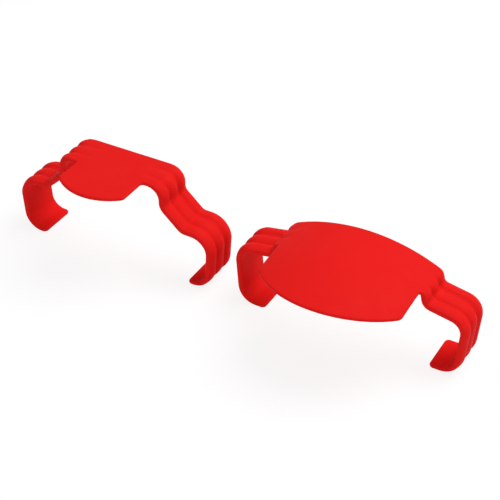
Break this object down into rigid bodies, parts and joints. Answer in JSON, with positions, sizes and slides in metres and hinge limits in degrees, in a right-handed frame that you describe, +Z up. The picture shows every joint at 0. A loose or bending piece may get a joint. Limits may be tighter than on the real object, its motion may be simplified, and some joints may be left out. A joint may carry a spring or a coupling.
{
  "type": "clip-on bridge grip set",
  "caption": "Moulded clip-on bridge grips: a flat or domed pad on ridged, stepped spring arms that end in inward hooks.",
  "frame": {"origin": "on the ground, at the middle of the box round the set", "axes": "+X from hook to hook and along the row of two grips, +Y towards the straight far edges, pads overhang towards -Y, +Z up"},
  "size_m": [0.2188, 0.0522, 0.0465],
  "materials": {
    "red_plastic": "satin moulded plastic, red"
  },
  "bodies": {
    "flat_grip": {"flat_pad_grip": "red_plastic"},
    "domed_grip": {"domed_pad_grip": "red_plastic"}
  },
  "joints": [
    {"name": "domed_grip_lift", "type": "slide", "parent": "flat_grip", "child": "domed_grip", "axis": [0, 0, 1], "range_m": [0, 0.06]}
  ]
}
